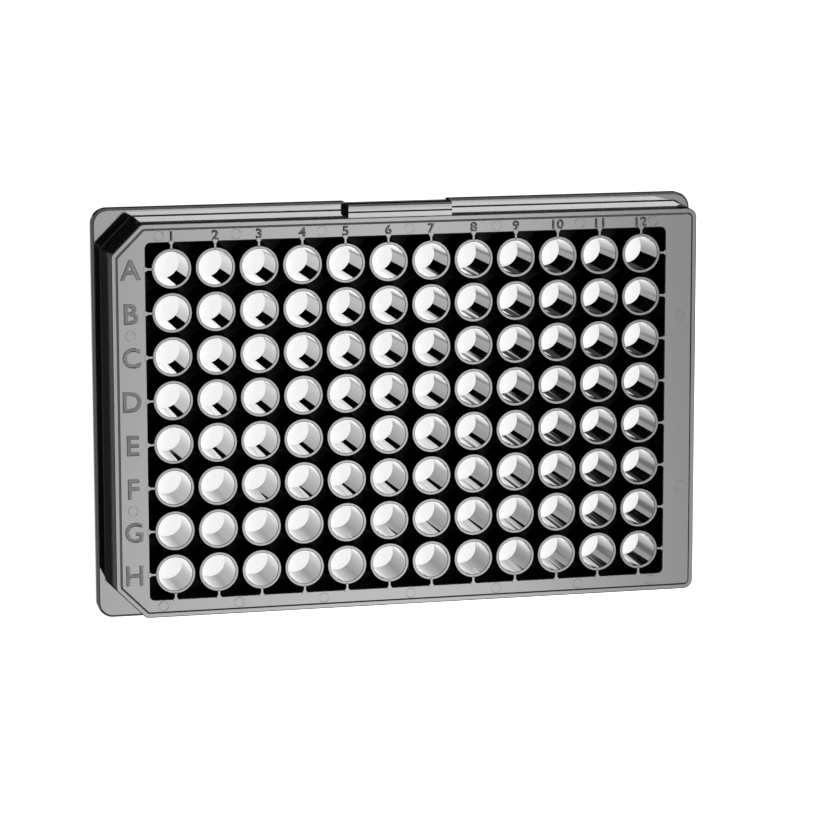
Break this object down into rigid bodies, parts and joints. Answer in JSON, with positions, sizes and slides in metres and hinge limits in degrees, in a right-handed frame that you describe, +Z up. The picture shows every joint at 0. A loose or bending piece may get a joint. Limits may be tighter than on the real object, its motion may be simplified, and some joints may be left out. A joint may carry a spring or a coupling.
{
  "type": "microplate",
  "caption": "Low rectangular lab plate with a skirt, two cut corners and a grid of round open-topped wells closed underneath by a clear film.",
  "frame": {"origin": "middle of the footprint on the plane of the skirt's lower edge", "axes": "+X along the rows of wells from column 1 to column 12, +Y towards row A, +Z up out of the wells"},
  "size_m": [0.1278, 0.0854, 0.0144],
  "materials": {
    "black_polystyrene": "glossy black moulded polystyrene",
    "clear_film": "clear smooth film"
  },
  "bodies": {
    "root": {"well_frame": "black_polystyrene", "base_film": "clear_film"}
  },
  "joints": []
}
